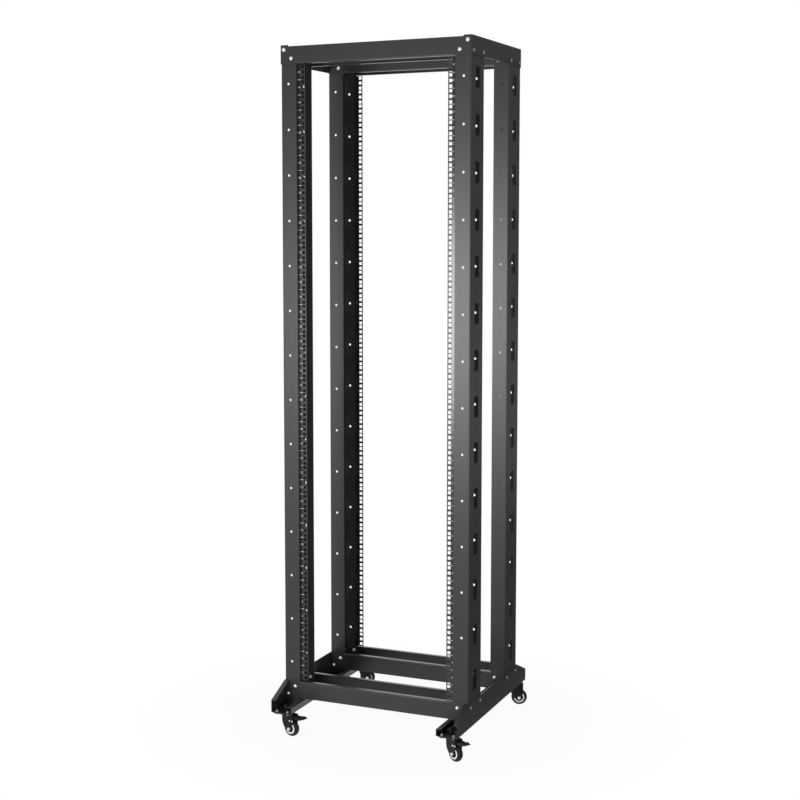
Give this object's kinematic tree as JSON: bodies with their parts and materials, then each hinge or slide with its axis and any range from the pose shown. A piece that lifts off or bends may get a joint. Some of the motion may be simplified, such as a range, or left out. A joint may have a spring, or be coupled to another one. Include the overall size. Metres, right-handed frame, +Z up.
{
  "type": "four post open frame rack",
  "caption": "Open frame rack of folded sheet posts with square-hole rails, joined by cross beams at top and base, on swivel casters.",
  "frame": {"origin": "on the floor plane, in the middle between the four posts", "axes": "+Z up, +Y to the back, +X to the right seen from the front"},
  "size_m": [0.6382, 0.655, 2.0789],
  "materials": {
    "black_powder_coat": "fine satin powder coat",
    "caster_black": "smooth black",
    "tyre": "matt",
    "hub": "satin grey",
    "bright_zinc": "zinc plated"
  },
  "bodies": {
    "rack_frame": {"post_front_left": "black_powder_coat", "post_front_right": "black_powder_coat", "post_rear_left": "black_powder_coat", "post_rear_right": "black_powder_coat", "rail_front_left": "black_powder_coat", "rail_front_right": "black_powder_coat", "rail_rear_left": "black_powder_coat", "rail_rear_right": "black_powder_coat", "base_channel_left": "black_powder_coat", "base_channel_right": "black_powder_coat", "base_beam_front_outer": "black_powder_coat", "base_beam_front_inner": "black_powder_coat", "base_beam_rear_outer": "black_powder_coat", "base_beam_rear_inner": "black_powder_coat", "top_beam_front_outer": "black_powder_coat", "top_beam_front_inner": "black_powder_coat", "top_beam_rear_outer": "black_powder_coat", "top_beam_rear_inner": "black_powder_coat", "top_panel_left": "black_powder_coat", "top_panel_right": "black_powder_coat", "caster_plate_front_left": "caster_black", "caster_plate_front_right": "caster_black", "caster_plate_rear_left": "caster_black", "caster_plate_rear_right": "caster_black"},
    "caster_swivel_front_left": {"caster_fork_front_left": "caster_black", "caster_axle_front_left": "bright_zinc"},
    "caster_wheel_front_left": {"caster_hub_front_left": "hub", "caster_tyre_front_left": "tyre"},
    "brake_lever_front_left": {"brake_pedal_front_left": "caster_black"},
    "caster_swivel_front_right": {"caster_fork_front_right": "caster_black", "caster_axle_front_right": "bright_zinc"},
    "caster_wheel_front_right": {"caster_hub_front_right": "hub", "caster_tyre_front_right": "tyre"},
    "brake_lever_front_right": {"brake_pedal_front_right": "caster_black"},
    "caster_swivel_rear_left": {"caster_fork_rear_left": "caster_black", "caster_axle_rear_left": "bright_zinc"},
    "caster_wheel_rear_left": {"caster_hub_rear_left": "hub", "caster_tyre_rear_left": "tyre"},
    "caster_swivel_rear_right": {"caster_fork_rear_right": "caster_black", "caster_axle_rear_right": "bright_zinc"},
    "caster_wheel_rear_right": {"caster_hub_rear_right": "hub", "caster_tyre_rear_right": "tyre"}
  },
  "joints": [
    {"name": "swivel_front_left", "type": "hinge", "parent": "rack_frame", "child": "caster_swivel_front_left", "pos_m": [-0.266, -0.287, 0.074], "axis": [0, 0, 1], "continuous": true},
    {"name": "wheel_spin_front_left", "type": "hinge", "parent": "caster_swivel_front_left", "child": "caster_wheel_front_left", "pos_m": [-0.24368, -0.29256, 0.025], "axis": [0.2419, 0.9703, 0], "continuous": true},
    {"name": "brake_front_left", "type": "hinge", "parent": "caster_swivel_front_left", "child": "brake_lever_front_left", "pos_m": [-0.23883, -0.29377, 0.0575], "axis": [0.2419, 0.9703, 0], "range_deg": [0, 10]},
    {"name": "swivel_front_right", "type": "hinge", "parent": "rack_frame", "child": "caster_swivel_front_right", "pos_m": [0.266, -0.287, 0.074], "axis": [0, 0, 1], "continuous": true},
    {"name": "wheel_spin_front_right", "type": "hinge", "parent": "caster_swivel_front_right", "child": "caster_wheel_front_right", "pos_m": [0.28592, -0.2985, 0.025], "axis": [0.5, 0.866, 0], "continuous": true},
    {"name": "brake_front_right", "type": "hinge", "parent": "caster_swivel_front_right", "child": "brake_lever_front_right", "pos_m": [0.29025, -0.301, 0.0575], "axis": [0.5, 0.866, 0], "range_deg": [0, 10]},
    {"name": "swivel_rear_left", "type": "hinge", "parent": "rack_frame", "child": "caster_swivel_rear_left", "pos_m": [-0.266, 0.287, 0.074], "axis": [0, 0, 1], "continuous": true},
    {"name": "wheel_spin_rear_left", "type": "hinge", "parent": "caster_swivel_rear_left", "child": "caster_wheel_rear_left", "pos_m": [-0.244, 0.29373, 0.025], "axis": [-0.2924, 0.9563, 0], "continuous": true},
    {"name": "swivel_rear_right", "type": "hinge", "parent": "rack_frame", "child": "caster_swivel_rear_right", "pos_m": [0.266, 0.287, 0.074], "axis": [0, 0, 1], "continuous": true},
    {"name": "wheel_spin_rear_right", "type": "hinge", "parent": "caster_swivel_rear_right", "child": "caster_wheel_rear_right", "pos_m": [0.28793, 0.29392, 0.025], "axis": [-0.3007, 0.9537, 0], "continuous": true}
  ]
}
